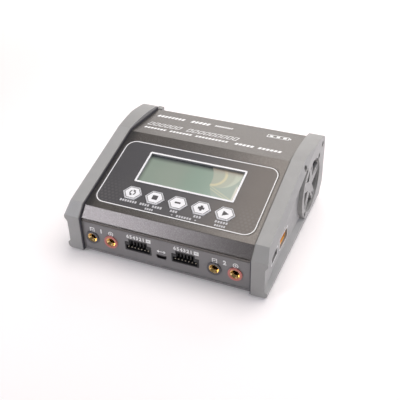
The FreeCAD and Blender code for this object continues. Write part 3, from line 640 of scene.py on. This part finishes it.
def display_face():
    """The overlay's outer face, from the middle of its lower edge."""
    middle = middle_of("display_overlay")
    above_the_window = middle + slope_up * (28 * MM)
    face = Face("display_overlay", above_the_window + slope_normal * SEARCH, -slope_normal)
    lower = slope_reach("display_overlay")[0] * MM
    face.origin += slope_up * (lower - slope_up.dot(face.origin))
    face.origin.x = middle.x
    return face


def display_marks():
    face = display_face()
    low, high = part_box("display_overlay")
    width = (high[0] - low[0]) / MM
    foot, top = slope_reach("display_overlay")
    height = top - foot
    edge, line, radius = 0.4, 0.75, 7.6
    loops = [round_rectangle(width - 2 * (edge + inset), height - 2 * (edge + inset),
                             radius - inset, 0, height / 2) for inset in (0, line)]
    mark("overlay_outline", face, [tuple(loops)], WHITE_INK)
    for key in KEY_SYMBOLS:
        key_marks(key, face)
    status_legend(face)


def key_marks(key, overlay):
    """Border, line and symbol on the key's top, legend blocks on the overlay below it. The grey
    border is painted shade of the key's sloped rim.
    """
    body = key + "_key"
    middle = middle_of(body)
    top = Face(body, middle + slope_normal * SEARCH, -slope_normal)
    border, line = (tuple(hexagon(KEY_SIZE[0] * part, KEY_SIZE[1] * part) for part in ring)
                    for ring in (BORDER_RING, LINE_RING))
    mark(body + "_border", top, [border], KEY_RIM_SHADE, body)
    mark(body + "_line", top, [line], DARK_INK, body)
    mark(body + "_symbol", top, KEY_SYMBOLS[key], DARK_INK, body)
    x = (middle.x - overlay.origin.x) / MM
    blocks = []
    for words, (y, size) in zip(KEY_LEGENDS[key], LEGEND_ROWS):
        blocks += legend(words, x, y, size, size, centred=True)
    mark(key + "_legend", overlay, blocks, PALE_INK)


def status_legend(overlay):
    """Small row between the minus and plus keys, with a pointer under each of them."""
    y = LEGEND_ROWS[1][0]
    left, right = ((middle_of(key).x - overlay.origin.x) / MM for key in ("minus_key", "plus_key"))
    shapes = legend((6,), (left + right) / 2, y, 1.7, 1.9, centred=True)
    for x, way in ((left, -1), (right, 1)):
        shapes.append(pointer(x - 0.5 * way, y, 1.3, 0.7, way))
    mark("status_legend", overlay, shapes, PALE_INK)


# ---------------------------------------------------------------- marks on the top
def top_marks():
    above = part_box("top_cover")[1][2] + SEARCH
    back, middle, front = (Face("top_cover", (0, y * MM, above), (0, 0, -1))
                           for y in (50.0, 34.0, 26.6))
    left = -57.0

    def words(name, row, letters, x, height, pitch, slant, hollow=0.0):
        blocks = legend(letters, x, 0, height, pitch, slant=slant, hollow=hollow)
        mark("top_legend_" + name, row, blocks, WHITE_INK)

    words("bold", back, (8,), left, 3.4, 2.95, 0.5)
    words("number", back, (5,), -28.0, 3.9, 3.2, 0.6)
    words("small", back, (9,), -8.0, 2.3, 1.65, 0.3)
    mark("top_battery_symbol", back, battery_symbol(43.0, 17.0, 4.8), WHITE_INK)
    words("outlined", middle, (6, 9), left, 5.4, 4.65, 0.8, hollow=0.6)
    words("lower", front, (7, 7, 10), left, 2.5, 2.65, 0.35)
    words("power", front, (5, 6), 17.0, 3.0, 3.0, 0.4)


def battery_symbol(x, width, height):
    """Plain battery outline with a terminal and three bars."""
    line, bars = 0.6, 3
    pitch = (width - 2 * line) / bars
    shapes = [hollow_rectangle(width, height, line, x),
              rectangle(1.2, height * 0.4, x + width / 2 + 0.9)]
    return shapes + [rectangle(pitch * 0.5, height - 4 * line, x + pitch * (i - (bars - 1) / 2))
                     for i in range(bars)]


# ---------------------------------------------------------------- marks on the front
SIGN_LINE = 0.6               # width of the lines of small signs
SIGNS_ABOVE = 8.3             # height of the socket signs above the sockets' middle


def front_marks():
    low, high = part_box("front_panel")
    below_the_top = high[2] - 3 * MM
    front = Face("front_panel", (0, low[1] - SEARCH, below_the_top), (0, 1, 0))
    front.origin = Vector((0, low[1], 0))
    y = middle_of("banana_sockets").z / MM + SIGNS_ABOVE
    for channel, port in enumerate(("balance_a_housing", "balance_b_housing")):
        number = str(channel + 1)
        negative, positive = socket_centres(channel)
        # the signs are printed a little to the right of their sockets
        x = negative + 0.3
        minus = [hollow_rectangle(3.7, 3.7, 0.65, x, y), rectangle(1.7, SIGN_LINE, x, y)]
        mark(f"channel_{number}_minus_sign", front, minus, WHITE_INK)
        x = positive + 0.2
        plus = [(circle(2.0, x, y), circle(1.35, x, y))]
        plus += [moved(bar, x, y) for bar in cross(1.9, SIGN_LINE)]
        mark(f"channel_{number}_plus_sign", front, plus, WHITE_INK)
        numeral(f"channel_{number}_numeral", number, front, (negative + positive) / 2, y, 3.4)
        port_numbers(front, number, port)
    data_arrow(front)


def socket_centres(channel):
    """x of the negative and the positive socket of one channel."""
    result = []
    for bushes in ("negative_bushes", "positive_bushes"):
        low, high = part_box(bushes)
        radius = (high[2] - low[2]) / 2
        result.append((low[0] + radius if channel == 0 else high[0] - radius) / MM)
    return result


def port_numbers(front, number, port):
    """Cell numbers 6 to 1 and a boxed minus over a balance port."""
    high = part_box(port)[1]
    x, y = high[0] / MM - 1.7, high[2] / MM + 2.3
    pitch, height = 2.4, 2.8
    for i in range(1, 7):
        numeral(f"port_{number}_cell_{i}", str(i), front, x - 1.3 - pitch * i, y, height)
    sign = (rectangle(3.6, 3.1, x, y), rectangle(1.9, 0.35, x, y))
    mark(f"port_{number}_minus", front, [sign], WHITE_INK)


def data_arrow(front):
    """Two-way data arrow over the small port."""
    x = middle_of("micro_usb_port").x / MM
    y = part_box("micro_usb_port")[1][2] / MM + 2.9
    half_shaft = 1.8
    heads = [pointer(x + way * half_shaft, y, 1.7, 1.3, way) for way in (-1, 1)]
    shaft = rectangle(2 * half_shaft, SIGN_LINE, x, y)
    mark("data_port_symbol", front, [shaft] + heads, WHITE_INK)


# ---------------------------------------------------------------- marks on the right side
def direct_current_sign(width):
    """A full line over one of three dashes."""
    pitch = width / 3
    dashes = [rectangle(pitch * 0.7, SIGN_LINE, pitch * i, -SIGN_LINE) for i in (-1, 0, 1)]
    return [rectangle(width, SIGN_LINE, 0, SIGN_LINE)] + dashes


def side_marks():
    """Printed frames and direct current signs at the ports in the right end cap."""
    beyond_the_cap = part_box("right_end_cap")[1][0] + SEARCH
    for node, name in (("dc_input_housing", "dc_input"), ("usb_power_shell", "usb_power")):
        low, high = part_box(node)
        middle = middle_of(node)
        sign_height = high[2] + 4.5 * MM
        drop = (sign_height - middle.z) / MM
        face = BentFace("right_end_cap", (beyond_the_cap, middle.y, sign_height),
                        (-1, 0, 0), (0, 1, 0))
        mark(name + "_sign", face, direct_current_sign(4.5), WHITE_INK)
        loops = []
        for reach in (1.0, 1.0 - SIGN_LINE):        # beyond the port, and the corners' radius
            width, height = ((high[i] - low[i]) / MM + 2 * reach for i in (1, 2))
            loops.append(divided(round_rectangle(width, height, reach, 0, -drop, steps=3), 12))
        mark(name + "_outline", face, [tuple(loops)], WHITE_INK)


# ---------------------------------------------------------------- studio, lengths in metres
def softbox(name, place, size, power, colour, target=(0, 0, 0.03), spread=180):
    """Rectangular area light that faces the target; a small spread keeps its light in a beam."""
    light = bpy.data.lights.new(name, "AREA")
    light.shape = "RECTANGLE"
    light.size, light.size_y = size
    light.energy = power
    light.color = rgba(colour)[:3]
    light.spread = math.radians(spread)
    obj = bpy.data.objects.new(name, light)
    aim = (Vector(target) - Vector(place)).to_track_quat("-Z", "Y")
    obj.matrix_world = Matrix.Translation(place) @ aim.to_matrix().to_4x4()
    obj.visible_camera = False
    bpy.context.scene.collection.objects.link(obj)


def floor():
    """White ground that glows more and more with the distance, so that it ends in white."""
    reach = 4.0
    mesh = bpy.data.meshes.new("floor")
    corners = [(x * reach, y * reach, 0) for x, y in ((-1, -1), (1, -1), (1, 1), (-1, 1))]
    mesh.from_pydata(corners, [], [(0, 1, 2, 3)])
    obj = bpy.data.objects.new("floor", mesh)
    bpy.context.scene.collection.objects.link(obj)
    white = Finish("floor_white", "f8f4f5", 0.75)
    white.shader.inputs["Emission Color"].default_value = rgba("ffffff")
    distance = white.vector("LENGTH", white.place())
    glow = white.span(distance, 0.22, 1.2, 0.12, 0.7)
    white.tree.links.new(glow, white.shader.inputs["Emission Strength"])
    mesh.materials.append(white.material)


def studio():
    floor()
    world = bpy.data.worlds.new("studio")
    bpy.context.scene.world = world
    world.use_nodes = True
    background = world.node_tree.nodes["Background"]
    background.inputs["Color"].default_value = rgba("fbfaf8")
    background.inputs["Strength"].default_value = 0.15
    softbox("overhead", (0.20, 0.35, 1.15), (1.2, 1.1), 13.6, "fffaf6")
    softbox("backdrop", (0.1, 1.6, 0.75), (2.2, 0.9), 13, "fffcfa")
    softbox("left_front", (-0.48, -0.57, 0.60), (0.33, 0.33), 0.12, "f3f3ff", (-0.06, 0, 0.03), 30)
    softbox("right", (1.1, 0.15, 0.50), (0.6, 0.6), 2.3, "dce2ff")


def camera():
    """Looks down on the front right corner, turned a little about its own axis."""
    data = bpy.data.cameras.new("camera")
    data.sensor_width = 36.0
    data.lens = 61.49
    obj = bpy.data.objects.new("camera", data)
    place = Vector((0.1704, -0.3797, 0.3095))
    heading, tilt, roll = (math.radians(a) for a in (24.21, 54.96, -1.84))
    obj.matrix_world = (Matrix.Translation(place) @ Matrix.Rotation(heading, 4, "Z")
                        @ Matrix.Rotation(tilt, 4, "X") @ Matrix.Rotation(roll, 4, "Z"))
    bpy.context.scene.collection.objects.link(obj)
    bpy.context.scene.camera = obj


paint_nodes()
display_marks()
top_marks()
front_marks()
side_marks()
studio()
camera()
bpy.context.scene.view_settings.view_transform = "Standard"
